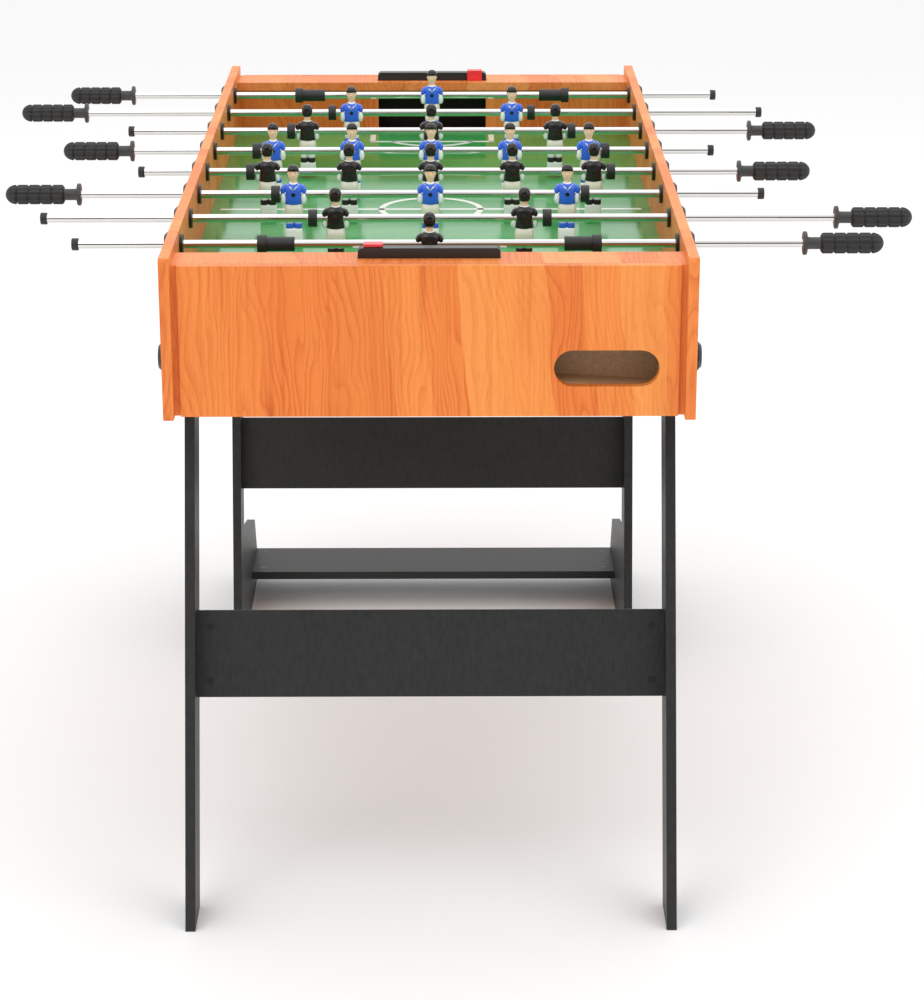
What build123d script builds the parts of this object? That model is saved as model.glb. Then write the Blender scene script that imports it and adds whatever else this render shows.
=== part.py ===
from build123d import *
import os
from math import cos, radians, sin, tan

# Foosball table with a folding front leg frame and a tilting rear stand. Millimetres, Z up.
# Pieces are laid out about the cabinet's centre, with the floor at Z = 0 and the rods along X,
# and are moved to the part's own origin when they are written.

# Cabinet
WIDTH = 610.0
LENGTH = 1210.0
HEIGHT = 800.0              # floor to the top edges of the side panels
BOARD = 12.0                # thickness of every cabinet and leg board
PANEL_H = 190.0
TOP_CORNER_R = 6.0
END_RECESS = 15.0           # end panels stand back from the side panels' ends
END_DROP = 12.0             # tops of the end panels below those of the side panels
REBATE_W = 7.0              # stepped edge on each side of an end panel
REBATE_D = 5.0
TOP_BOARD_IN = 525.0        # distance of a top board's inner edge from the centre

# Playing surface, goals and ball return
FIELD_DROP = 84.0
FIELD_T = 6.0
GOAL_WALL_Y = 535.0
GOAL_WALL_T = 9.0
GOAL_WALL_LOW = 632.0
GOAL_W = 162.0
GOAL_H = 46.0
SLOT_X = 203.0
SLOT_DROP = 133.0
SLOT_L = 121.0
SLOT_H = 43.0
TRAY_T = 4.0
TRAY_LEFT = -110.0
TRAY_SLOPE = 3.0

# Score counters
RAIL_L = 163.0
RAIL_W = 14.0
RAIL_H = 12.0
RAIL_Y = 548.0
RAIL_END_R = 5.0
SLIDER_L = 22.0
SLIDER_X = 64.0
SLIDER_LAP = 3.0            # how far a slider reaches past the middle of its rail
SLIDER_WALL = 3.0
GAP = 0.5                   # beside a slider and under a knob

# Rods
ROD_PITCH = 131.0
ROD_DROP = 18.5
ROD_R = 5.0
ROD_WALL = 1.0
RUN_GAP = 0.3               # between a turning or sliding shaft and what surrounds it
MEN_PER_ROD = (1, 2, 3, 5, 5, 3, 2, 1)
HANDLE_SIDE = (1, 1, -1, 1, -1, 1, -1, -1)
MAN_SPACING = {1: 0.0, 2: 230.0, 3: 172.6, 5: 106.4}
BUFFER_OUT = {1: 202.0, 2: 148.0, 3: 200.5, 5: 240.5}
BUFFER_L = 10.6
BUFFER_R = 10.75
SLEEVE_L = 33.0
SLEEVE_R = 8.5
BUSH_IN = 4.0
BUSH_IN_R = 12.0
BUSH_OUT = 6.0
BUSH_OUT_R = 14.5
BUSH_CHAMFER = 3.5
CAP_REACH = 333.0           # outer end of a rod's cap when the rod is pushed fully in
FLANGE_REACH = 352.0        # the same for the flange of its handle
CAP_R = 7.25
CAP_L = 8.0
CAP_END = 2.0
HANDLE_L = 95.0
HANDLE_R = 12.5
HANDLE_BORE = 60.0
FLANGE_R = 14.0
FLANGE_T = 4.5
NECK_R = 7.2
NECK_END = 20.5             # from the handle's flange

# Players, about the rod's axis
MAN_BLOCKS = (              # half width, back, front, bottom, top
    (11.0, -5.0, 9.0, -62.0, -42.6),        # boots
    (9.5, -6.0, 6.0, -42.6, -22.0),         # legs
    (12.5, -7.5, 7.5, -30.0, -12.0),        # shorts
    (11.0, -9.0, 9.0, -13.0, 14.0),         # body
    (16.5, -6.0, 6.0, -8.0, 13.0),          # arms
)
MAN_NECK_R = 5.0
MAN_CHIN_Z = 22.0
MAN_HEAD_R = 7.2
MAN_HEAD_TOP = 38.0
PIN_R = 1.6
PIN_L = 16.0

# Leg frames
LEG_GAP = 1.0               # between a leg and the side panel it turns beside
LEG_W = 62.0
PIVOT_Z = 636.0
PIVOT_R = 4.7
FRONT_PIVOT_Y = -430.0
FRONT_LEAN = 19.4
REAR_PIVOT_Y = 345.0
REAR_LEAN = 14.5
REAR_LEG_W = 60.0
CROSS_W = 104.0
FRONT_CROSS_Z = 300.0
REAR_CROSS_Z = 291.0
NOTCH_Z = 160.0             # corner between the rear leg's back edge and its foot
FOOT_TOP_Y = 484.0
FOOT_TOP_Z = 107.0
FOOT_END_Y = 547.0
BASE_W = 108.0
BASE_Y = 458.0
BASE_Z = 37.0
NUT_INSET = 16.0
NUT_R = 4.0
NUT_PROUD = 0.3             # a barrel nut's end above the board's face
NUT_OFFSET = 32.0
BASE_NUT_OFFSET = 36.0
BOLT_R = 2.5
BOLT_HEAD_R = 4.5
BOLT_HEAD_T = 2.0
SCREW_L = 28.0              # length of a cabinet screw inside the end panel
SCREW_INSET = 35.0
PIVOT_HEAD_R = 8.0
PIVOT_HEAD_T = 5.0
WASHER_R = 10.0
WASHER_T = 0.6
KNOB_R = 18.0
KNOB_L = 20.0
KNOB_CHAMFER = 4.5
KNOB_LOBES = 12
KNOB_GROOVE_R = 2.6
KNOB_SKIRT = 3.0
KNOB_DEPTH = 12.5
OVERCUT = 1.0               # how far a cutting tool runs past the face it starts from

INNER_X = WIDTH / 2 - BOARD
LEG_OUT_X = INNER_X - LEG_GAP
LEG_IN_X = LEG_OUT_X - BOARD
LOW_Z = HEIGHT - PANEL_H
FIELD_Z = HEIGHT - FIELD_DROP
ROD_Z = HEIGHT - ROD_DROP
END_Y = LENGTH / 2 - END_RECESS
END_IN_Y = END_Y - BOARD
END_TOP_Z = HEIGHT - END_DROP
SLOT_Z = HEIGHT - SLOT_DROP
KNOB_X = WIDTH / 2 + GAP
SCREW_Y = END_IN_Y + (BOARD - REBATE_D) / 2

# The front feet reach furthest to -Y and the side panels furthest to +Y; the origin is midway.
FRONT_FOOT_Y = FRONT_PIVOT_Y - PIVOT_Z * tan(radians(FRONT_LEAN)) - LEG_W / 2 / cos(radians(FRONT_LEAN))
ORIGIN_Y = (LENGTH / 2 + FRONT_FOOT_Y) / 2

TURN = Rot(0, 0, 180)


def rod_y(number):
    """Distance of a rod from the centre; rods are numbered from 1 at the near end."""
    return (number - (len(MEN_PER_ROD) + 1) / 2) * ROD_PITCH


def travel(count):
    """How far a rod slides either way before its buffer meets a bush."""
    return INNER_X - BUSH_IN - BUFFER_OUT[count]


def block(x0, x1, y0, y1, z0, z1):
    """A box from its lowest to its highest corner."""
    return Pos((x0 + x1) / 2, (y0 + y1) / 2, (z0 + z1) / 2) * Box(x1 - x0, y1 - y0, z1 - z0)


def bar_x(x0, x1, y, z, radius):
    """A cylinder along X."""
    return Pos((x0 + x1) / 2, y, z) * Rot(0, 90, 0) * Cylinder(radius, x1 - x0)


def turned(*points):
    """A solid of revolution about X from its (x, radius) outline."""
    outline = Polyline(*points, points[0])
    return revolve(make_face(Plane.XY * outline), Axis.X, 360)


def side_plate(sketch, x0):
    """A board cut to a (y, z) sketch, with its low-X face at x0."""
    return Pos(x0, 0, 0) * extrude(Plane.YZ * sketch, BOARD)


def save(node, *shapes):
    """Write one node's separate solids, moved to the part's origin."""
    solids = [Pos(0, -ORIGIN_Y, 0) * solid for shape in shapes for solid in shape.solids()]
    export_step(solids[0] if len(solids) == 1 else Compound(solids), f"parts/{node}.step")


# ---- Fasteners ----

def cabinet_screws():
    """Screws through the side panels into the ends of the end panels."""
    screws = []
    for side in (0, 180):
        for y in (-SCREW_Y, SCREW_Y):
            for z in (LOW_Z + SCREW_INSET, END_TOP_Z - SCREW_INSET):
                shank = bar_x(INNER_X - SCREW_L, WIDTH / 2 - BOLT_HEAD_T, y, z, BOLT_R)
                head = bar_x(WIDTH / 2 - BOLT_HEAD_T, WIDTH / 2, y, z, BOLT_HEAD_R)
                screws.append(Rot(0, 0, side) * (shank + head))
    return screws


def pivot_bolts(y):
    """A carriage bolt through each leg and side panel, and the washer between them."""
    head = bar_x(LEG_IN_X - PIVOT_HEAD_T, LEG_IN_X, y, PIVOT_Z, PIVOT_HEAD_R)
    shank = bar_x(LEG_IN_X, KNOB_X + KNOB_DEPTH - OVERCUT, y, PIVOT_Z, PIVOT_R)
    washer = bar_x(LEG_OUT_X, LEG_OUT_X + WASHER_T, y, PIVOT_Z, WASHER_R)
    washer -= bar_x(LEG_OUT_X, LEG_OUT_X + WASHER_T, y, PIVOT_Z, PIVOT_R)
    right = [head + shank, washer]
    return right + [mirror(piece, Plane.YZ) for piece in right]


def leg_bolt(y, z):
    """A connecting bolt from a right leg's outer face into the barrel nut in a board's end."""
    shank = bar_x(LEG_IN_X - NUT_INSET, LEG_OUT_X - BOLT_HEAD_T, y, z, BOLT_R)
    return shank + bar_x(LEG_OUT_X - BOLT_HEAD_T, LEG_OUT_X, y, z, BOLT_HEAD_R)


def joint_hardware(place, offsets):
    """Bolts and barrel nuts that hold a board, whose frame is `place`, to both legs."""
    pieces = []
    for offset in offsets:
        centre = (place * Pos(0, 0, offset)).position
        barrel = Rot(90, 0, 0) * Cylinder(NUT_R, BOARD + 2 * NUT_PROUD)
        nut = place * Pos(LEG_IN_X - NUT_INSET, 0, offset) * barrel
        bolt = leg_bolt(centre.Y, centre.Z)
        right = [nut - bolt, bolt]
        pieces += right + [mirror(piece, Plane.YZ) for piece in right]
    return pieces


def drill(body, tools):
    """Cut the fasteners' own shapes out of the pieces that they pass through."""
    for tool in tools:
        body = body - tool
    return body


# ---- Cabinet ----

def side_panel():
    """The right side panel, with its bush and pivot holes."""
    panel = block(INNER_X, WIDTH / 2, -LENGTH / 2, LENGTH / 2, LOW_Z, HEIGHT)
    corners = panel.edges().filter_by(Axis.X).group_by(Axis.Z)[-1]
    panel = fillet(corners, TOP_CORNER_R)
    for number in range(1, len(MEN_PER_ROD) + 1):
        panel -= bar_x(INNER_X - OVERCUT, WIDTH / 2 + OVERCUT, rod_y(number), ROD_Z, SLEEVE_R)
    for y in (FRONT_PIVOT_Y, REAR_PIVOT_Y):
        panel -= bar_x(INNER_X - OVERCUT, WIDTH / 2 + OVERCUT, y, PIVOT_Z, PIVOT_R + RUN_GAP)
    return panel


def end_panel():
    """The near end panel: stepped side edges and the rounded ball-return slot."""
    panel = block(-INNER_X, INNER_X, -END_Y + REBATE_D, -END_IN_Y, LOW_Z, END_TOP_Z)
    panel += block(-INNER_X + REBATE_W, INNER_X - REBATE_W, -END_Y, -END_Y + REBATE_D, LOW_Z, END_TOP_Z)
    slot = Plane.XZ * (Pos(SLOT_X, SLOT_Z) * SlotOverall(SLOT_L, SLOT_H))
    return panel - Pos(0, -END_IN_Y + OVERCUT, 0) * extrude(slot, BOARD + 2 * OVERCUT)


def goal_wall():
    """The near goal wall, from the top board down past the playfield, with the goal's mouth."""
    wall = block(-INNER_X, INNER_X, -GOAL_WALL_Y - GOAL_WALL_T, -GOAL_WALL_Y,
                 GOAL_WALL_LOW, END_TOP_Z - BOARD)
    return wall - block(-GOAL_W / 2, GOAL_W / 2, -GOAL_WALL_Y - GOAL_WALL_T - OVERCUT,
                        -GOAL_WALL_Y + OVERCUT, FIELD_Z, FIELD_Z + GOAL_H)


def top_board():
    """The near top board, flush with the top of the end panel."""
    return block(-INNER_X, INNER_X, -END_IN_Y, -TOP_BOARD_IN, END_TOP_Z - BOARD, END_TOP_Z)


def ball_tray():
    """The sloped trough that rolls a ball from behind the goal to the slot."""
    right = SLOT_X + SLOT_L / 2 + TRAY_T
    low = SLOT_Z - SLOT_H / 2 - TRAY_T
    rise = (right - TRAY_LEFT) * tan(radians(TRAY_SLOPE))
    outline = Polyline(
        (TRAY_LEFT, low + rise - TRAY_T), (right, low - TRAY_T), (right, SLOT_Z + SLOT_H / 2),
        (right - TRAY_T, SLOT_Z + SLOT_H / 2), (right - TRAY_T, low),
        (TRAY_LEFT + TRAY_T, low + rise), (TRAY_LEFT + TRAY_T, SLOT_Z + SLOT_H / 2),
        (TRAY_LEFT, SLOT_Z + SLOT_H / 2), close=True)
    face = make_face(Plane.XZ * outline)
    depth = END_IN_Y - GOAL_WALL_Y - GOAL_WALL_T
    return Pos(0, -GOAL_WALL_Y - GOAL_WALL_T, 0) * extrude(face, depth)


def score_rail():
    """The near score rail on its top board, with rounded upper ends."""
    rail = block(-RAIL_L / 2, RAIL_L / 2, -RAIL_Y - RAIL_W / 2, -RAIL_Y + RAIL_W / 2,
                 END_TOP_Z, END_TOP_Z + RAIL_H)
    return fillet(rail.edges().filter_by(Axis.Y).group_by(Axis.Z)[-1], RAIL_END_R)


def score_slider():
    """The near slider, which hooks over the field side of the rail."""
    reach = RAIL_W / 2 + GAP
    x0 = -SLIDER_X - SLIDER_L / 2
    x1 = -SLIDER_X + SLIDER_L / 2
    top = END_TOP_Z + RAIL_H + GAP
    body = block(x0, x1, -RAIL_Y - SLIDER_LAP, -RAIL_Y + reach + SLIDER_WALL,
                 END_TOP_Z + GAP, top + SLIDER_WALL)
    return body - block(x0 - OVERCUT, x1 + OVERCUT, -RAIL_Y - reach, -RAIL_Y + reach, END_TOP_Z, top)


def bush():
    """A flanged rod bush, with X = 0 at the panel's inner face."""
    bore = ROD_R + RUN_GAP
    end = BOARD + BUSH_OUT
    return turned((-BUSH_IN, bore), (-BUSH_IN, BUSH_IN_R), (0, BUSH_IN_R), (0, SLEEVE_R),
                  (BOARD, SLEEVE_R), (BOARD, BUSH_OUT_R), (end - BUSH_CHAMFER, BUSH_OUT_R),
                  (end, BUSH_OUT_R - BUSH_CHAMFER), (end, bore))


def rod_bushes():
    """Two bushes for each rod."""
    bushes = []
    for number in range(1, len(MEN_PER_ROD) + 1):
        right = Pos(INNER_X, rod_y(number), ROD_Z) * bush()
        bushes += [right, mirror(right, Plane.YZ)]
    return bushes


def write_cabinet():
    screws = cabinet_screws()
    right = side_panel()
    save("side_panel_right", drill(right, screws))
    save("side_panel_left", drill(mirror(right, Plane.YZ), screws))
    near_end = drill(end_panel(), screws)
    save("near_end_panel", near_end)
    save("far_end_panel", TURN * near_end)
    save("near_goal_wall", goal_wall())
    save("far_goal_wall", TURN * goal_wall())
    save("near_top_board", top_board())
    save("far_top_board", TURN * top_board())
    save("ball_trays", ball_tray(), TURN * ball_tray())
    save("playfield", block(-INNER_X, INNER_X, -GOAL_WALL_Y, GOAL_WALL_Y, FIELD_Z - FIELD_T, FIELD_Z))
    save("score_rails", score_rail(), TURN * score_rail())
    save("near_score_slider", score_slider())
    save("far_score_slider", TURN * score_slider())
    save("rod_bushes", *rod_bushes())
    save("cabinet_screws", *screws)


# ---- Rods and players; built with the handle towards +X and turned round for the other team ----

def man():
    """A player standing upright on the rod, facing +Y."""
    shape = Pos(0, 0, MAN_CHIN_Z / 2) * Cylinder(MAN_NECK_R, MAN_CHIN_Z)
    head = Cylinder(MAN_HEAD_R, MAN_HEAD_TOP - MAN_CHIN_Z)
    shape += Pos(0, 0, (MAN_HEAD_TOP + MAN_CHIN_Z) / 2) * head
    for half, back, front, low, high in MAN_BLOCKS:
        shape += block(-half, half, back, front, low, high)
    reach = max(size[0] for size in MAN_BLOCKS) + OVERCUT
    return shape - bar_x(-reach, reach, 0, 0, ROD_R)


def man_places(count):
    """X positions of the players on a rod."""
    return [(index - (count - 1) / 2) * MAN_SPACING[count] for index in range(count)]


def pins(count):
    """The cross pins that hold the players on the rod."""
    return [Pos(x, 0, 0) * Rot(90, 0, 0) * Cylinder(PIN_R, PIN_L) for x in man_places(count)]


def buffers(count):
    """The stop rings at both ends of the row of players, with long sleeves on a goalkeeper's rod."""
    out = BUFFER_OUT[count]
    bore = ROD_R + RUN_GAP
    start = out - BUFFER_L
    if count == 1:
        ring = turned((start - SLEEVE_L, bore), (start - SLEEVE_L, SLEEVE_R), (start, SLEEVE_R),
                      (start, BUFFER_R), (out, BUFFER_R), (out, bore))
    else:
        ring = turned((start, bore), (start, BUFFER_R), (out, BUFFER_R), (out, bore))
    return [ring, mirror(ring, Plane.YZ)]


def handle(start):
    """The moulded handle from its flange at X = start."""
    shape = turned((0, 0), (0, FLANGE_R), (FLANGE_T, FLANGE_R), (FLANGE_T, NECK_R),
                   (NECK_END, NECK_R), (NECK_END + 1.5, HANDLE_R - 1.5), (NECK_END + 5.5, HANDLE_R),
                   (HANDLE_L - 9, HANDLE_R), (HANDLE_L - 4, HANDLE_R - 2),
                   (HANDLE_L - 1, HANDLE_R - 5.5), (HANDLE_L, HANDLE_R - 9.5), (HANDLE_L, 0))
    return Pos(start, 0, 0) * (shape - bar_x(-OVERCUT, HANDLE_BORE, 0, 0, ROD_R))


def end_cap(stop):
    """The cap on the rod's far end, which lies at X = -stop."""
    shape = bar_x(-stop, -stop + CAP_L, 0, 0, CAP_R)
    return shape - bar_x(-stop + CAP_END, -stop + CAP_L + OVERCUT, 0, 0, ROD_R)


def write_rod(number):
    count = MEN_PER_ROD[number - 1]
    place = Pos(0, rod_y(number), ROD_Z)
    if HANDLE_SIDE[number - 1] < 0:
        place = place * TURN
    cap_stop = CAP_REACH + travel(count)
    flange = FLANGE_REACH + travel(count)
    tube = bar_x(-cap_stop + CAP_END, flange + HANDLE_BORE, 0, 0, ROD_R)
    tube -= bar_x(-cap_stop, flange + HANDLE_BORE + OVERCUT, 0, 0, ROD_R - ROD_WALL)
    keys = pins(count)
    players = [drill(Pos(x, 0, 0) * man(), [key]) for x, key in zip(man_places(count), keys)]
    save(f"rod_{number}_bar", place * drill(tube, keys), *[place * key for key in keys])
    save(f"rod_{number}_men", *[place * player for player in players])
    save(f"rod_{number}_buffers", *[place * ring for ring in buffers(count)])
    save(f"rod_{number}_grips", place * handle(flange), place * end_cap(cap_stop))


# ---- Leg frames ----

def leg_line(pivot_y, lean, z, offset=0.0):
    """Y at height z of a leg's centre line, or of a line `offset` to one side of it."""
    return pivot_y - (PIVOT_Z - z) * tan(radians(lean)) + offset / cos(radians(lean))


def leg_top(pivot_y, lean, width):
    """The two points where a leg's straight edges meet its round top."""
    dy = width / 2 * cos(radians(lean))
    dz = width / 2 * sin(radians(lean))
    return (pivot_y + dy, PIVOT_Z - dz), (pivot_y - dy, PIVOT_Z + dz)


def round_top(sketch, pivot_y, width):
    """Add the round top about the pivot and the bolt's hole to a leg's outline."""
    centre = Pos(pivot_y, PIVOT_Z)
    return sketch + centre * Circle(width / 2) - centre * Circle(PIVOT_R)


def front_leg():
    """The right front leg, a straight board that leans outwards to its foot."""
    back, front = leg_top(FRONT_PIVOT_Y, FRONT_LEAN, LEG_W)
    outline = Polygon(
        back, front,
        (leg_line(FRONT_PIVOT_Y, FRONT_LEAN, 0, -LEG_W / 2), 0),
        (leg_line(FRONT_PIVOT_Y, FRONT_LEAN, 0, LEG_W / 2), 0), align=None)
    return side_plate(round_top(outline, FRONT_PIVOT_Y, LEG_W), LEG_IN_X)


def rear_leg():
    """The right rear leg, a boot-shaped board with a notch between leg and foot."""
    back, front = leg_top(REAR_PIVOT_Y, REAR_LEAN, REAR_LEG_W)
    notch_y = leg_line(REAR_PIVOT_Y, REAR_LEAN, NOTCH_Z, REAR_LEG_W / 2)
    outline = Polygon(
        back, front,
        (leg_line(REAR_PIVOT_Y, REAR_LEAN, 0, -REAR_LEG_W / 2), 0),
        (FOOT_END_Y, 0), (FOOT_TOP_Y, FOOT_TOP_Z), (notch_y, NOTCH_Z), align=None)
    return side_plate(round_top(outline, REAR_PIVOT_Y, REAR_LEG_W), LEG_IN_X)


def cross_place(pivot_y, lean, z):
    """Frame of a cross board, on the centre line of the legs and in their plane."""
    return Pos(0, leg_line(pivot_y, lean, z), z) * Rot(-lean, 0, 0)


def write_legs(name, leg, pivot_y, lean, boards):
    """Write one leg frame: its two legs, its cross boards and all its fasteners."""
    hardware = []
    for board_name, place, offsets, shape in boards:
        fixings = joint_hardware(place, offsets)
        save(board_name, drill(place * shape, fixings))
        hardware += fixings
    save(f"{name}_leg_right", drill(leg, hardware))
    save(f"{name}_leg_left", drill(mirror(leg, Plane.YZ), hardware))
    save(f"{name}_fasteners", *hardware, *pivot_bolts(pivot_y))


def knob(x_side, y):
    """A lobed lock knob on a pivot bolt."""
    shape = turned((0, 0), (0, KNOB_R), (KNOB_L - KNOB_CHAMFER, KNOB_R),
                   (KNOB_L, KNOB_R - KNOB_CHAMFER), (KNOB_L, 0))
    for index in range(KNOB_LOBES):
        groove = Rot(index * 360 / KNOB_LOBES, 0, 0) * Pos(0, KNOB_R + OVERCUT, 0)
        shape -= groove * bar_x(KNOB_SKIRT, KNOB_L + OVERCUT, 0, 0, KNOB_GROOVE_R)
    shape -= bar_x(-OVERCUT, KNOB_DEPTH, 0, 0, PIVOT_R + RUN_GAP)
    right = Pos(KNOB_X, y, PIVOT_Z) * shape
    return right if x_side > 0 else mirror(right, Plane.YZ)


def main():
    os.makedirs("parts", exist_ok=True)
    write_cabinet()
    for number in range(1, len(MEN_PER_ROD) + 1):
        write_rod(number)
    board = Box(2 * LEG_IN_X, BOARD, CROSS_W)
    nuts = (-NUT_OFFSET, NUT_OFFSET)
    front = cross_place(FRONT_PIVOT_Y, FRONT_LEAN, FRONT_CROSS_Z)
    write_legs("front", front_leg(), FRONT_PIVOT_Y, FRONT_LEAN,
               [("front_cross_board", front, nuts, board)])
    rear = cross_place(REAR_PIVOT_Y, REAR_LEAN, REAR_CROSS_Z)
    base = Pos(0, BASE_Y, BASE_Z + BOARD / 2) * Rot(90, 0, 0)
    write_legs("stand", rear_leg(), REAR_PIVOT_Y, REAR_LEAN,
               [("stand_cross_board", rear, nuts, board),
                ("stand_base_board", base, (-BASE_NUT_OFFSET, BASE_NUT_OFFSET),
                 Box(2 * LEG_IN_X, BOARD, BASE_W))])
    for side, x_side in (("left", -1), ("right", 1)):
        save(f"front_knob_{side}", knob(x_side, FRONT_PIVOT_Y))
        save(f"rear_knob_{side}", knob(x_side, REAR_PIVOT_Y))


main()
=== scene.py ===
import math

import bmesh
import bpy
from mathutils import Matrix, Vector


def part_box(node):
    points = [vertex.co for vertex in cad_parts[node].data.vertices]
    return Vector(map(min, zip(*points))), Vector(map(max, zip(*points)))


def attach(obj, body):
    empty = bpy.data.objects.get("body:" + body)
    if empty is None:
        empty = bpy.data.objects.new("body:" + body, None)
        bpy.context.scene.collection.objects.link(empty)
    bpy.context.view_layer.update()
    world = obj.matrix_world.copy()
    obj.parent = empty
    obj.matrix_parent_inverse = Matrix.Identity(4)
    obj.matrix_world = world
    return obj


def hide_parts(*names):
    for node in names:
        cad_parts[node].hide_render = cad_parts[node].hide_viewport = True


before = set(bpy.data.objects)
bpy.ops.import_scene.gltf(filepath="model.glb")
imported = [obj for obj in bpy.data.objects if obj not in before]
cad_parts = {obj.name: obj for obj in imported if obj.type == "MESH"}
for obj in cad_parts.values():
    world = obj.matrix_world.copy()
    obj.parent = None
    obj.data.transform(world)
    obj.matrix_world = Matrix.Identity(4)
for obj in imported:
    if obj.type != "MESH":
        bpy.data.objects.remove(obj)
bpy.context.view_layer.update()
MM = 0.001

# Players on each rod, from the near end
PLAYERS = {1: 1, 2: 2, 3: 3, 4: 5, 5: 5, 6: 3, 7: 2, 8: 1}
CAD_PLAYER_HALF = 16.5 * MM

# Rounding of edges: cut boards, and moulded pieces
BOARD_EDGE = 0.8 * MM
MOULDED_EDGE = 1.6 * MM
SHARP_ANGLE = 35

# Laminate: widths of a printed stave and of a growth ring, in metres
STAVE_W = 0.046
RING_W = 0.0075

# Distances from the table's middle between which end panels and goal walls show no laminate: the end
# panels' inner faces get near-black painted shade, the goal walls show bare fibreboard
PANEL_INSIDE = (0.5, 0.5785)
GOAL_WALL_INSIDE = (0.5435, 0.6)

# Markings on the field
LINE_W = 8 * MM
LINE_T = 0.25 * MM
WALL_GAP = 12 * MM
CIRCLE_R = 66 * MM
SPOT_R = 3 * MM
BOX_HALF = 88 * MM
BOX_DEPTH = 95 * MM
BOW_R = 73 * MM
BOW_ANGLE = 54

# Handles, in millimetres from the flange
HANDLE_L = 95.0
GRIP_START = 21.5
GRIP_R = 12.4
GRIP_WAIST = 2.2
GRIP_DOME = 14
SEGMENTS = 5
RIBS = 12
RING_STEP = 0.9

# Viewpoint: metres from the middle of the field, degrees, and focal length in heights of the picture
VIEW_RIGHT = 0.0157
VIEW_BACK = 3.697
VIEW_HEIGHT = 1.578
VIEW_DOWN = 18.998
VIEW_TURN = -0.397
FOCAL_HEIGHTS = 2.8272
SENSOR = 36.0

# Dark card for reflections: metres behind the middle of the field, height of its middle, and size
CARD_BACK = 4.3
CARD_Z = 1.75
CARD_SIZE = (10, 2.3)

# Soft lamps: name, place, size and power
LAMPS = (("key", (-1.6, -2.6, 3.2), 2.2, 22), ("fill", (2.6, -2.0, 2.4), 2.4, 12),
         ("top", (0.2, 0.6, 3.4), 2.6, 18), ("back", (0.0, 3.2, 2.6), 2.2, 8))


# ---- Small helpers ----

def middle(low, high, axis):
    return (low[axis] + high[axis]) / 2


MIDDLE_Y = middle(*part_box("playfield"), 1)
FIELD_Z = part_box("playfield")[1][2]


def finish_mesh(name, bm, materials, smooth=True):
    """Turn a bmesh into a linked object with its materials."""
    mesh = bpy.data.meshes.new(name)
    bmesh.ops.recalc_face_normals(bm, faces=bm.faces)
    bm.to_mesh(mesh)
    bm.free()
    for material in materials:
        mesh.materials.append(material)
    for face in mesh.polygons:
        face.use_smooth = smooth
    obj = bpy.data.objects.new(name, mesh)
    bpy.context.scene.collection.objects.link(obj)
    return obj


def bevel(node, width=BOARD_EDGE, segments=2):
    """Round the sharp edges of a CAD node a little, keeping its flat faces flat."""
    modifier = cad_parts[node].modifiers.new("soft_edges", "BEVEL")
    modifier.width = width
    modifier.segments = segments
    modifier.limit_method = "ANGLE"
    modifier.angle_limit = math.radians(SHARP_ANGLE)


def skin(bm, rings, slot=0):
    """Faces between rings of points, in order, with the two ends closed."""
    loops = [[bm.verts.new(point) for point in ring] for ring in rings]
    count = len(loops[0])
    for low, high in zip(loops, loops[1:]):
        for i in range(count):
            j = (i + 1) % count
            face = bm.faces.new((low[i], low[j], high[j], high[i]))
            face.material_index = slot
    for loop in (loops[0][::-1], loops[-1]):
        bm.faces.new(loop).material_index = slot


def oval(x, y, z, half_x, half_y, power=2.4, count=20):
    """A level ring of points on a squared-off oval."""
    points = []
    for i in range(count):
        a = 2 * math.pi * i / count
        c = math.cos(a)
        s = math.sin(a)
        points.append(Vector((x + half_x * math.copysign(abs(c) ** (2 / power), c),
                              y + half_y * math.copysign(abs(s) ** (2 / power), s), z)))
    return points


def ring_x(x, radius, count=48, lobes=0, depth=0.0):
    """A ring of points round the X axis, with optional lengthwise ribs."""
    points = []
    for i in range(count):
        a = 2 * math.pi * i / count
        r = radius
        if lobes:
            groove = max(0.0, 1 - abs(((a * lobes / (2 * math.pi)) % 1) - 0.5) / 0.16)
            r -= depth * groove ** 0.7
        points.append(Vector((x, r * math.cos(a), r * math.sin(a))))
    return points


# ---- Materials ----

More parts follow.
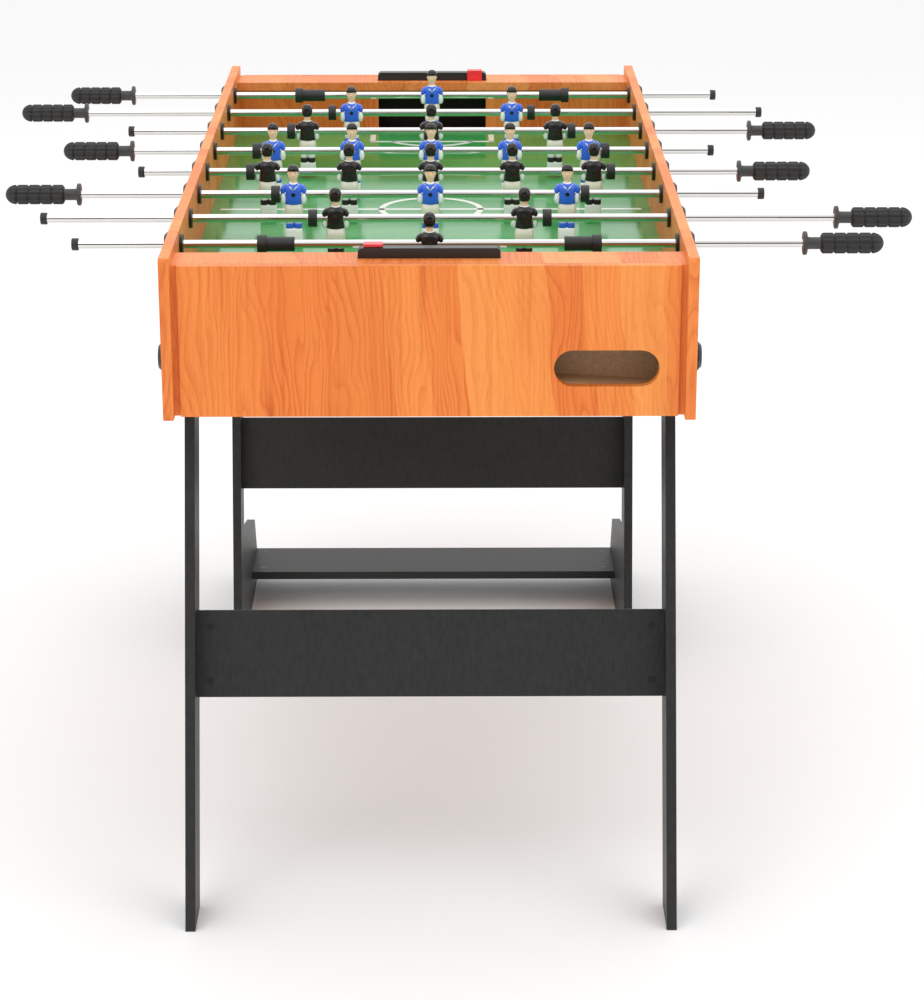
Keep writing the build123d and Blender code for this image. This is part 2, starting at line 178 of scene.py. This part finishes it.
class Nodes:
    """A material's node tree, with short ways to add and join nodes."""

    def __init__(self, name):
        self.material = bpy.data.materials.new(name)
        self.material.use_nodes = True
        self.tree = self.material.node_tree
        self.shader = self.tree.nodes["Principled BSDF"]

    def add(self, kind, **values):
        node = self.tree.nodes.new(kind)
        for key, value in values.items():
            setattr(node, key, value)
        return node

    def join(self, source, target):
        self.tree.links.new(source, target)

    def coords(self, scale):
        """Object coordinates, which are the part's own frame in metres, scaled."""
        source = self.add("ShaderNodeTexCoord")
        mapping = self.add("ShaderNodeMapping")
        mapping.inputs["Scale"].default_value = scale
        self.join(source.outputs["Object"], mapping.inputs["Vector"])
        return mapping.outputs["Vector"]

    def noise(self, vector, scale, detail=4.0, distortion=0.0):
        node = self.add("ShaderNodeTexNoise")
        node.inputs["Scale"].default_value = scale
        node.inputs["Detail"].default_value = detail
        node.inputs["Distortion"].default_value = distortion
        self.join(vector, node.inputs["Vector"])
        return node.outputs["Fac"]

    def ramp(self, value, *stops):
        node = self.add("ShaderNodeValToRGB")
        ramp = node.color_ramp
        while len(ramp.elements) < len(stops):
            ramp.elements.new(0.5)
        for element, (place, colour) in zip(ramp.elements, stops):
            element.position = place
            element.color = (*colour, 1)
        self.join(value, node.inputs["Fac"])
        return node.outputs["Color"]

    def mix(self, amount, first, second, blend="MIX"):
        node = self.add("ShaderNodeMix", data_type="RGBA", blend_type=blend)
        for index, value in ((0, amount), (6, first), (7, second)):
            socket = node.inputs[index]
            if isinstance(value, (tuple, float, int)):
                socket.default_value = (*value, 1) if isinstance(value, tuple) else value
            else:
                self.join(value, socket)
        return node.outputs[2]

    def math(self, operation, first, second=0.0):
        node = self.add("ShaderNodeMath", operation=operation)
        for socket, value in zip(node.inputs, (first, second)):
            if isinstance(value, (float, int)):
                socket.default_value = value
            else:
                self.join(value, socket)
        return node.outputs[0]

    def spread(self, value, low, high):
        node = self.add("ShaderNodeMapRange")
        self.join(value, node.inputs["Value"])
        node.inputs["To Min"].default_value = low
        node.inputs["To Max"].default_value = high
        return node.outputs[0]

    def colour(self, value):
        if isinstance(value, tuple):
            self.shader.inputs["Base Color"].default_value = (*value, 1)
        else:
            self.join(value, self.shader.inputs["Base Color"])

    def rough(self, value):
        self.join(value, self.shader.inputs["Roughness"])

    def bump(self, height, strength, distance):
        node = self.add("ShaderNodeBump")
        node.inputs["Strength"].default_value = strength
        node.inputs["Distance"].default_value = distance
        self.join(height, node.inputs["Height"])
        self.join(node.outputs["Normal"], self.shader.inputs["Normal"])


def wood(name, across, along, shade=(1.0, 1.0, 1.0), bare_board_and_painted_shade=None):
    """Cherry laminate: uneven staves side by side along one axis, with grain along the other.

    The last argument gives ((nearest, furthest), colour): the distances from the table's middle between
    which the board is not laminated and shows that colour, which on the end panels is near-black painted
    shade.
    """
    nodes = Nodes(name)
    plain = nodes.coords((1, 1, 1))
    axes = nodes.add("ShaderNodeSeparateXYZ")
    nodes.join(plain, axes.inputs[0])

    def stretched(wide, long):
        scale = [wide] * 3
        scale[along] = long
        return nodes.coords(tuple(scale))

    wander = nodes.math("SUBTRACT", nodes.noise(stretched(1.0, 0.5), 9.0, 2.0), 0.5)
    lean = nodes.math("MULTIPLY", axes.outputs[along], 0.07)
    place = nodes.math("ADD", axes.outputs[across], nodes.math("MULTIPLY", wander, 0.045))
    place = nodes.math("ADD", place, lean)
    stave = nodes.math("FLOOR", nodes.math("DIVIDE", place, STAVE_W))
    tint = nodes.add("ShaderNodeTexWhiteNoise", noise_dimensions="1D")
    nodes.join(stave, tint.inputs["W"])
    base = nodes.ramp(tint.outputs["Value"], (0.0, (0.78, 0.205, 0.036)), (0.35, (0.82, 0.235, 0.045)),
                      (0.7, (0.85, 0.270, 0.055)), (1.0, (0.87, 0.310, 0.070)))
    # growth rings, in lines along the grain that close into arches where the board cuts across them
    swirl = nodes.noise(stretched(1.0, 0.22), 17.0, 2.0, 0.3)
    field = nodes.math("ADD", nodes.math("DIVIDE", place, RING_W), nodes.math("MULTIPLY", swirl, 11.0))
    rings = nodes.ramp(nodes.math("FRACT", field), (0.0, (0.80, 0.60, 0.44)), (0.14, (0.90, 0.79, 0.68)),
                       (0.5, (1, 1, 1)), (0.90, (1, 1, 1)), (1.0, (0.84, 0.68, 0.55)))
    figure = nodes.math("MULTIPLY", nodes.spread(tint.outputs["Value"], 1.8, 0.5),
                        nodes.noise(stretched(1.0, 0.4), 14.0, 1.0))
    figured = nodes.mix(figure, base, rings, "MULTIPLY")
    streak = nodes.noise(stretched(1.0, 0.025), 170.0, 3.0)
    streaks = nodes.ramp(streak, (0.30, (0.84, 0.70, 0.56)), (0.46, (1, 1, 1)), (0.75, (1.03, 1.07, 1.12)))
    figured = nodes.mix(0.60, figured, streaks, "MULTIPLY")
    broad = nodes.noise(stretched(1.0, 0.10), 38.0, 2.0)
    shadows = nodes.ramp(broad, (0.30, (0.88, 0.80, 0.72)), (0.55, (1, 1, 1)))
    figured = nodes.mix(0.55, figured, shadows, "MULTIPLY")
    pores = nodes.noise(stretched(1.0, 0.06), 900.0, 2.0)
    specks = nodes.ramp(pores, (0.34, (0.70, 0.56, 0.46)), (0.44, (1, 1, 1)))
    figured = nodes.mix(0.30, figured, specks, "MULTIPLY")
    surface = nodes.mix(1.0, figured, shade, "MULTIPLY")
    # between these distances the board shows a plain colour: bare fibreboard on the goal walls, near-black
    # painted shade on the end panels' inner faces
    if bare_board_and_painted_shade:
        (nearest, furthest), colour = bare_board_and_painted_shade
        distance = nodes.math("ABSOLUTE", nodes.math("SUBTRACT", axes.outputs[1], MIDDLE_Y))
        inside = nodes.math("MULTIPLY", nodes.math("GREATER_THAN", distance, nearest),
                            nodes.math("LESS_THAN", distance, furthest))
        shaded = tuple(c * 0.75 for c in colour)
        inner_fibre_and_shade = nodes.ramp(nodes.noise(plain, 240.0, 4.0), (0.3, shaded), (0.7, colour))
        surface = nodes.mix(inside, surface, inner_fibre_and_shade)
    nodes.colour(surface)
    nodes.rough(nodes.spread(streak, 0.40, 0.52))
    nodes.bump(pores, 0.10, 0.0003)
    nodes.shader.inputs["Specular IOR Level"].default_value = 0.30
    return nodes.material


def black_board():
    """Black laminated board, with a faint pressed grain and paler rubbed patches."""
    nodes = Nodes("black_laminate")
    space = nodes.coords((30, 30, 3))
    grain = nodes.noise(space, 8.0, 5.0)
    dust = nodes.noise(nodes.coords((1, 1, 1)), 6.0, 4.0)
    base = nodes.ramp(grain, (0.3, (0.013, 0.014, 0.014)), (0.7, (0.022, 0.023, 0.022)))
    nodes.colour(nodes.mix(nodes.spread(dust, 0.0, 0.30), base, (0.040, 0.041, 0.037)))
    nodes.rough(nodes.spread(grain, 0.40, 0.54))
    nodes.shader.inputs["Specular IOR Level"].default_value = 0.38
    nodes.bump(grain, 0.10, 0.0004)
    return nodes.material


def moulded(name, colour, low=0.30, high=0.45, scale=900.0, strength=0.10, worn=None):
    """Moulded plastic or rubber with a fine surface texture and soft handling marks."""
    nodes = Nodes(name)
    space = nodes.coords((1, 1, 1))
    texture = nodes.noise(space, scale, 2.0)
    marks = nodes.noise(space, 60.0, 4.0)
    lighter = worn or tuple(min(1.0, c * 1.35 + 0.01) for c in colour)
    nodes.colour(nodes.mix(nodes.spread(marks, 0.0, 0.45), colour, lighter))
    nodes.rough(nodes.spread(marks, low, high))
    nodes.bump(texture, strength, 0.0002)
    return nodes.material


def metal(name, colour, low, high, brushed=0.05):
    """Plated or polished steel with fine turning marks across the bar."""
    nodes = Nodes(name)
    lines = nodes.noise(nodes.coords((400, 8, 8)), 6.0, 3.0)
    smears = nodes.noise(nodes.coords((1, 1, 1)), 40.0, 4.0)
    nodes.colour(nodes.mix(nodes.spread(smears, 0.0, 0.3), colour, tuple(c * 0.85 for c in colour)))
    nodes.rough(nodes.spread(smears, low, high))
    nodes.bump(lines, brushed, 0.0001)
    nodes.shader.inputs["Metallic"].default_value = 1.0
    return nodes.material


def turf():
    """The playfield: a glossy green sheet in soft patches of two greens, on a fibreboard."""
    nodes = Nodes("playing_sheet")
    space = nodes.coords((1, 1, 1))
    patches = nodes.noise(nodes.coords((0.6, 1.6, 1)), 6.0, 3.0, 0.5)
    speck = nodes.noise(space, 420.0, 3.0)
    base = nodes.ramp(patches, (0.35, (0.022, 0.250, 0.045)), (0.65, (0.060, 0.370, 0.095)))
    sheet = nodes.mix(nodes.spread(speck, 0.0, 0.20), base, (0.09, 0.42, 0.14))
    axes = nodes.add("ShaderNodeSeparateXYZ")
    nodes.join(space, axes.inputs[0])
    printed = nodes.math("GREATER_THAN", axes.outputs[2], FIELD_Z - MM)
    nodes.colour(nodes.mix(printed, FIBREBOARD, sheet))
    nodes.rough(nodes.math("ADD", nodes.spread(patches, 0.08, 0.14), nodes.spread(printed, 0.55, 0.0)))
    nodes.bump(speck, 0.02, 0.0001)
    nodes.shader.inputs["Specular IOR Level"].default_value = 0.42
    return nodes.material


# near-black painted shade for the end panels' inner faces inside the goal boxes
GOAL_PAINTED_SHADE = (0.016, 0.007, 0.006)
FIBREBOARD = (0.42, 0.25, 0.125)

END_WOOD = wood("cherry_laminate_upright", across=0, along=2, bare_board_and_painted_shade=(PANEL_INSIDE, GOAL_PAINTED_SHADE))
GOAL_WOOD = wood("cherry_laminate_goal", across=0, along=2, bare_board_and_painted_shade=(GOAL_WALL_INSIDE, FIBREBOARD))
SIDE_WOOD = wood("cherry_laminate_side", across=1, along=2, shade=(1.02, 1.08, 1.3))
TOP_WOOD = wood("cherry_laminate_top", across=0, along=1, shade=(1.0, 1.08, 1.5))
BLACK_BOARD = black_board()
TRAY = moulded("tray_fibreboard", FIBREBOARD, 0.6, 0.8, 300.0, 0.3)
TURF = turf()
PLASTIC = moulded("black_plastic", (0.014, 0.014, 0.014), 0.28, 0.42)
RUBBER = moulded("black_rubber", (0.013, 0.013, 0.013), 0.42, 0.58, 700.0, 0.25)
# the handles' black rubber painted paler for the neck and flange: painted light for how they catch the
# light from above
RUBBER_PAINTED_LIGHTER = moulded("rubber_painted_lighter", (0.036, 0.036, 0.036), 0.38, 0.52, 700.0, 0.12)
RED = moulded("red_plastic", (0.78, 0.022, 0.030), 0.22, 0.34)
CHROME = metal("chrome_rod", (0.76, 0.75, 0.73), 0.05, 0.11)
ZINC = metal("zinc_steel", (0.55, 0.55, 0.56), 0.25, 0.4, 0.2)
BLACK_STEEL = moulded("black_steel", (0.010, 0.010, 0.010), 0.30, 0.42)
LINE_WHITE = moulded("field_line_white", (0.84, 0.88, 0.80), 0.12, 0.20, 300.0, 0.03,
                     worn=(0.76, 0.84, 0.74))
SKIN = moulded("painted_skin", (0.95, 0.62, 0.42), 0.30, 0.42)
HAIR = moulded("painted_hair", (0.010, 0.009, 0.008), 0.12, 0.22)
# team by the side its handles are on: 1 is +X
JERSEY = {1: moulded("painted_black_jersey", (0.014, 0.012, 0.012), 0.16, 0.26),
          -1: moulded("painted_blue_jersey", (0.030, 0.130, 0.72), 0.18, 0.30)}
WHITE = moulded("moulded_white", (0.84, 0.90, 0.86), 0.26, 0.40)
SHORTS = moulded("moulded_shorts", (0.70, 0.70, 0.58), 0.32, 0.46)


def paint(material, *names):
    """Give CAD nodes one material."""
    for name in names:
        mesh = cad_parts[name].data
        mesh.materials.clear()
        mesh.materials.append(material)


# ---- CAD pieces that keep their shape ----

def dress_cabinet():
    paint(END_WOOD, "near_end_panel", "far_end_panel")
    paint(GOAL_WOOD, "near_goal_wall", "far_goal_wall")
    paint(SIDE_WOOD, "side_panel_left", "side_panel_right")
    paint(TOP_WOOD, "near_top_board", "far_top_board")
    paint(TRAY, "ball_trays")
    paint(TURF, "playfield")
    paint(PLASTIC, "score_rails", "rod_bushes")
    paint(RED, "near_score_slider", "far_score_slider")
    paint(ZINC, "cabinet_screws")
    paint(BLACK_STEEL, "stand_fasteners", "front_fasteners")
    for name in ("near_end_panel", "far_end_panel", "side_panel_left", "side_panel_right",
                 "near_top_board", "far_top_board"):
        bevel(name)
    for name in ("score_rails", "near_score_slider", "far_score_slider"):
        bevel(name, MOULDED_EDGE, 3)


def dress_legs():
    boards = ("front_leg_left", "front_leg_right", "front_cross_board", "stand_leg_left",
              "stand_leg_right", "stand_cross_board", "stand_base_board")
    paint(BLACK_BOARD, *boards)
    for name in boards:
        bevel(name)
    for end in ("front", "rear"):
        for side in ("left", "right"):
            name = f"{end}_knob_{side}"
            paint(PLASTIC, name)
            bevel(name)


def dress_rods():
    for rod in PLAYERS:
        paint(CHROME, f"rod_{rod}_bar")
        paint(RUBBER, f"rod_{rod}_buffers")
        bevel(f"rod_{rod}_buffers")


# ---- Field markings ----

def strip(bm, points, width=LINE_W, closed=False):
    """A flat ribbon of small thickness along level points on the field."""
    count = len(points)
    rims = []
    for i, point in enumerate(points):
        before = points[(i - 1) % count] if closed or i else point
        after = points[(i + 1) % count] if closed or i < count - 1 else point
        way = (Vector(after) - Vector(before)).normalized()
        side = Vector((way.y, -way.x)) * width / 2
        corners = []
        for sign, height in ((1, 0), (1, LINE_T), (-1, LINE_T), (-1, 0)):
            corner = (point[0] + sign * side.x, point[1] + sign * side.y, FIELD_Z + height)
            corners.append(bm.verts.new(corner))
        rims.append(corners)
    pairs = list(zip(rims, rims[1:] + rims[:1])) if closed else list(zip(rims, rims[1:]))
    for low, high in pairs:
        for i in range(4):
            j = (i + 1) % 4
            bm.faces.new((low[i], low[j], high[j], high[i]))
    if not closed:
        bm.faces.new(rims[0][::-1])
        bm.faces.new(rims[-1])


def arc(centre_y, radius, start, end, steps=48):
    """Points along an arc about the middle line of the field, between two angles in degrees."""
    angles = [math.radians(start + (end - start) * i / steps) for i in range(steps + 1)]
    return [(radius * math.cos(a), centre_y + radius * math.sin(a)) for a in angles]


def field_markings():
    low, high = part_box("playfield")
    half_x = high[0] - WALL_GAP
    half_y = (high[1] - low[1]) / 2 - MM
    bm = bmesh.new()
    strip(bm, arc(MIDDLE_Y, CIRCLE_R, 0, 360)[:-1], closed=True)
    strip(bm, arc(MIDDLE_Y, SPOT_R, 0, 360, 24)[:-1], 2 * SPOT_R, closed=True)
    strip(bm, [(-half_x, MIDDLE_Y), (half_x, MIDDLE_Y)])
    for sign in (-1, 1):
        goal = MIDDLE_Y + sign * half_y
        front = goal - sign * BOX_DEPTH
        for side in (-BOX_HALF, BOX_HALF):
            strip(bm, [(side, goal), (side, front)])
        strip(bm, [(-BOX_HALF - LINE_W / 2, front), (BOX_HALF + LINE_W / 2, front)])
        bow_y = front + sign * BOW_R * math.cos(math.radians(BOW_ANGLE))
        facing = -90 * sign
        strip(bm, arc(bow_y, BOW_R, facing - BOW_ANGLE, facing + BOW_ANGLE, 24))
    lines = finish_mesh("field_markings", bm, [LINE_WHITE], smooth=False)
    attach(lines, "cabinet")


# ---- Players ----

def player_mesh():
    """A moulded player standing on the rod's axis, facing +Y; sizes are in millimetres."""
    bm = bmesh.new()
    skin_slot, hair_slot, jersey_slot, white_slot, shorts_slot = range(5)

    def loft(slot, *sections, power=2.4, x=0.0):
        skin(bm, [oval(x + dx, y, z, hx, hy, power) for dx, y, z, hx, hy in sections], slot)

    # jersey: waist, chest, shoulders and the slope to the neck
    loft(jersey_slot, (0, 0, -12.5, 10.4, 8.0), (0, 0, -11.5, 11.2, 8.8), (0, 0, -4, 10.4, 8.8),
         (0, 0.3, 3, 10.8, 9.0), (0, 0.2, 8, 12.2, 8.4), (0, 0, 11.0, 11.4, 7.2), (0, 0, 13.4, 8.0, 5.8),
         (0, 0, 14.8, 5.2, 4.6))
    # shorts, then the legs and socks below them
    loft(shorts_slot, (0, 0, -28.5, 11.0, 7.6), (0, 0, -27.5, 11.6, 8.2), (0, 0, -20, 11.8, 8.4),
         (0, 0, -11.8, 10.8, 8.2), power=3.0)
    for sign in (-1, 1):
        loft(white_slot, (0, 0, -40, 4.6, 5.2), (0, 0, -34, 5.0, 5.8), (0, 0, -27, 5.2, 6.2),
             x=sign * 5.1)
        loft(jersey_slot, (0, 0.3, -43.4, 4.9, 5.8), (0, 0.3, -42.8, 5.3, 6.2), (0, 0.3, -37.2, 5.3, 6.2),
             (0, 0.3, -36.6, 4.9, 5.8), x=sign * 5.0, power=3.6)
        # sleeve, then the forearm and fist at the rod
        loft(jersey_slot, (2.2 * sign, 0.6, 0.6, 2.2, 3.8), (2.1 * sign, 0.5, 1.4, 3.4, 4.8),
             (1.5 * sign, 0.3, 6, 3.6, 5.0), (0.2 * sign, 0, 9.6, 3.4, 4.8),
             (-1.4 * sign, 0, 12.2, 2.2, 3.6), x=sign * 11.4)
        loft(white_slot, (0.8 * sign, 1.0, -12.0, 1.8, 3.2), (1.1 * sign, 1.2, -11, 3.0, 4.6),
             (1.3 * sign, 1.2, -7, 3.8, 5.6), (1.3 * sign, 1.0, -2, 3.8, 5.5),
             (1.3 * sign, 0.8, 1.4, 3.2, 4.7), (1.2 * sign, 0.6, 2.4, 2.4, 3.8), x=sign * 11.7)
    # foot block, with a flat front for striking the ball
    loft(white_slot, (0, 2.2, -61.6, 10.4, 6.4), (0, 2.2, -61.0, 10.9, 6.9), (0, 1.8, -54, 11.0, 6.9),
         (0, 0.9, -46, 10.8, 6.5), (0, 0.6, -43.2, 10.2, 6.0), (0, 0.6, -42.4, 9.4, 5.2), power=5.0)
    # collar, neck, head and face
    loft(white_slot, (0, 0.2, 12.6, 6.3, 5.9), (0, 0.2, 14.2, 5.7, 5.3), (0, 0.2, 15.4, 4.9, 4.6))
    loft(skin_slot, (0, 0, 13, 4.3, 4.2), (0, 0, 18, 4.2, 4.3), (0, 0.6, 20.4, 5.0, 5.2),
         (0, 0.6, 23, 6.1, 6.2), (0, 0.3, 27, 6.7, 6.8), (0, 0, 31, 6.7, 6.9), (0, 0, 34, 5.6, 5.8),
         (0, 0, 36, 3.0, 3.2), power=2.2)
    nose = [oval(0, 6.9, 24.6, 1.3, 0.9, 2.0, 10), oval(0, 7.0, 25.6, 1.1, 0.9, 2.0, 10),
            oval(0, 6.4, 28.2, 0.5, 0.5, 2.0, 10)]
    skin(bm, nose, skin_slot)
    for sign in (-1, 1):
        loft(skin_slot, (0, -0.4, 24.6, 0.5, 0.8), (0.2 * sign, -0.4, 26.5, 0.8, 1.4),
             (0, -0.4, 28.6, 0.5, 0.9), x=sign * 6.7)
        loft(hair_slot, (0, 0, 28.0, 1.3, 0.35), (0, 0.1, 28.5, 1.3, 0.4), x=sign * 2.7, power=2.0)
        brow = [oval(sign * 2.7, 6.3, 28.1, 0.75, 0.5, 2.0, 8),
                oval(sign * 2.7, 6.3, 29.0, 0.55, 0.4, 2.0, 8)]
        skin(bm, brow, hair_slot)
    # hair: a cap that comes down at the back and over the brow
    rings = []
    for z, hx, hy, y in ((21.5, 5.4, 3.6, -2.8), (24, 6.6, 5.4, -2.1), (27, 7.2, 6.4, -1.4),
                         (29.6, 7.35, 7.0, -0.8), (30.6, 7.4, 7.7, 0.0), (33.4, 7.0, 7.5, 0.0),
                         (36, 5.3, 5.7, 0.0), (37.6, 2.8, 3.1, 0.0), (38, 0.8, 0.9, 0.0)):
        rings.append(oval(0, y, z, hx, hy, 2.2, 24))
    skin(bm, rings, hair_slot)
    # white V of the collar on the chest
    for sign in (-1, 1):
        ends = ((6.6 * sign, 4.4, 13.2), (4.0 * sign, 7.3, 10.8), (0.0, 9.0, 6.6))
        skin(bm, [[Vector((x + dx, y + dy, z + dz)) for dx, dy, dz in
                   ((-0.7, -0.9, 0.7), (0.7, -0.9, 0.7), (0.7, 0.35, -0.5), (-0.7, 0.35, -0.5))]
                  for x, y, z in ends], white_slot)
    # dark end of the cross pin in the chest and back
    for face_y, direction in ((8.9, 1), (-8.7, -1)):
        pin_end = [[Vector((r * math.cos(a), y, 1.0 + r * math.sin(a)))
                    for a in [2 * math.pi * i / 16 for i in range(16)]]
                   for r, y in ((2.7, face_y - 0.5 * direction), (2.7, face_y + 0.45 * direction),
                                (2.3, face_y + 0.6 * direction), (1.6, face_y + 0.45 * direction))]
        skin(bm, pin_end, hair_slot)
    bmesh.ops.scale(bm, vec=(MM, MM, MM), verts=bm.verts)
    mesh = bpy.data.meshes.new("player")
    bm.to_mesh(mesh)
    bm.free()
    return mesh


def rod_place(rod):
    """(centre of the rod's axis, which side its handle is on)."""
    low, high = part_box(f"rod_{rod}_bar")
    cap_low, grip_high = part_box(f"rod_{rod}_grips")
    side = 1 if abs(grip_high[0]) > abs(cap_low[0]) else -1
    return Vector((0, middle(low, high, 1), middle(low, high, 2))), side


def player_spots(rod):
    """X positions of the players on a rod, spread evenly over their CAD node."""
    count = PLAYERS[rod]
    low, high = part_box(f"rod_{rod}_men")
    half = (high[0] - low[0]) / 2 - CAD_PLAYER_HALF
    return [0.0] if count == 1 else [-half + 2 * half * i / (count - 1) for i in range(count)]


def players():
    template = player_mesh()
    for rod in PLAYERS:
        centre, side = rod_place(rod)
        turn = Matrix.Rotation(0 if side > 0 else math.pi, 4, "Z")
        bm = bmesh.new()
        for x in player_spots(rod):
            copy = template.copy()
            copy.transform(Matrix.Translation(centre + Vector((x, 0, 0))) @ turn)
            bm.from_mesh(copy)
            bpy.data.meshes.remove(copy)
        team = finish_mesh(f"rod_{rod}_players", bm, [SKIN, HAIR, JERSEY[side], WHITE, SHORTS])
        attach(team, f"rod_{rod}")
        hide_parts(f"rod_{rod}_men")


# ---- Handles and end caps ----

def grip_radius(x):
    """Radius of the ribbed grip at x: rounded segments and a domed end."""
    span = (HANDLE_L - GRIP_START) / SEGMENTS
    t = ((x - GRIP_START) / span) % 1.0
    waist = min(t, 1 - t) / 0.13
    r = GRIP_R - GRIP_WAIST * max(0.0, 1 - waist) ** 1.4
    past_dome = (x - HANDLE_L + GRIP_DOME) / GRIP_DOME
    if past_dome > 0:
        r = min(r, GRIP_R * math.sqrt(max(0.0, 1 - past_dome ** 2)))
    return r


def handle(rod):
    """The ribbed handle and the end cap of a rod, built along X and turned to its side."""
    centre, side = rod_place(rod)
    low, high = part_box(f"rod_{rod}_grips")
    end = high[0] if side > 0 else -low[0]
    start = end / MM - HANDLE_L
    rings = [ring_x(start + x, r) for x, r in ((0, 5.4), (0, 13.2), (0.7, 14.0), (3.6, 14.0), (4.4, 13.2),
                                             (4.6, 9.0), (5.6, 7.6), (8, 7.2), (19.5, 7.2), (20.6, 7.6))]
    x = GRIP_START - 0.6
    while x < HANDLE_L - 0.05:
        r = grip_radius(x) if x > GRIP_START else 9.6
        rings.append(ring_x(start + x, r, lobes=RIBS, depth=min(1.8, r * 0.15)))
        x += RING_STEP
    rings.append(ring_x(start + HANDLE_L - 0.02, 0.6))
    bm = bmesh.new()
    skin(bm, rings)
    # neck and flange faces take the paler rubber, which is painted light
    for face in bm.faces:
        if face.calc_center_median().x < start + GRIP_START - 1:
            face.material_index = 1
    stop = -low[0] / MM if side > 0 else high[0] / MM
    skin(bm, [ring_x(-x, r, 32) for x, r in ((stop - 8, 5.2), (stop - 8, 6.9), (stop - 7.6, 7.25),
                                            (stop - 1.0, 7.25), (stop - 0.2, 6.6), (stop, 5.6))])
    bmesh.ops.scale(bm, vec=(MM, MM, MM), verts=bm.verts)
    turn = Matrix.Rotation(0 if side > 0 else math.pi, 4, "Z")
    bmesh.ops.transform(bm, matrix=Matrix.Translation(centre) @ turn, verts=bm.verts)
    piece = finish_mesh(f"rod_{rod}_handle_and_cap", bm, [RUBBER, RUBBER_PAINTED_LIGHTER])
    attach(piece, f"rod_{rod}")
    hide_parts(f"rod_{rod}_grips")


# ---- Stage ----

def stage():
    bpy.ops.mesh.primitive_plane_add(size=60, location=(0, 0, 0))
    floor = bpy.context.object
    floor.name = "floor"
    nodes = Nodes("pale_floor")
    nodes.colour((0.93, 0.93, 0.93))
    nodes.shader.inputs["Roughness"].default_value = 1.0
    nodes.shader.inputs["Specular IOR Level"].default_value = 0.0
    floor.data.materials.append(nodes.material)

    world = bpy.data.worlds.new("studio")
    bpy.context.scene.world = world
    world.use_nodes = True
    background = world.node_tree.nodes["Background"]
    background.inputs["Color"].default_value = (1, 1, 1, 1)
    background.inputs["Strength"].default_value = 1.0

    # a dark card behind the viewpoint, seen only in reflections, for the dark line along the rods
    bpy.ops.mesh.primitive_plane_add(size=1, location=(0, MIDDLE_Y - CARD_BACK, CARD_Z),
                                     rotation=(math.pi / 2, 0, 0))
    card = bpy.context.object
    card.name = "dark_card"
    card.scale = (*CARD_SIZE, 1)
    card_nodes = Nodes("card_black")
    card_nodes.colour((0.04, 0.04, 0.04))
    card.data.materials.append(card_nodes.material)
    card.visible_camera = card.visible_diffuse = card.visible_shadow = False
    card.visible_transmission = card.visible_volume_scatter = False

    for name, place, size, power in LAMPS:
        light = bpy.data.lights.new(name, "AREA")
        light.size = size
        light.energy = power
        lamp = bpy.data.objects.new(name, light)
        lamp.location = place
        lamp.rotation_euler = (Vector((0, 0, 0.6)) - Vector(place)).to_track_quat("-Z", "Y").to_euler()
        bpy.context.scene.collection.objects.link(lamp)


def camera():
    """The viewpoint: in front of the near end, above it, looking along the table."""
    data = bpy.data.cameras.new("camera")
    obj = bpy.data.objects.new("camera", data)
    bpy.context.scene.collection.objects.link(obj)
    obj.location = (VIEW_RIGHT, MIDDLE_Y - VIEW_BACK, VIEW_HEIGHT)
    obj.rotation_euler = (math.radians(90 - VIEW_DOWN), 0, math.radians(VIEW_TURN))
    data.sensor_fit = "VERTICAL"
    data.sensor_height = SENSOR
    data.lens = SENSOR * FOCAL_HEIGHTS
    data.clip_end = 100
    bpy.context.scene.camera = obj
    bpy.context.scene.view_settings.view_transform = "Standard"


camera()
dress_cabinet()
dress_legs()
dress_rods()
field_markings()
players()
for number in PLAYERS:
    handle(number)
stage()
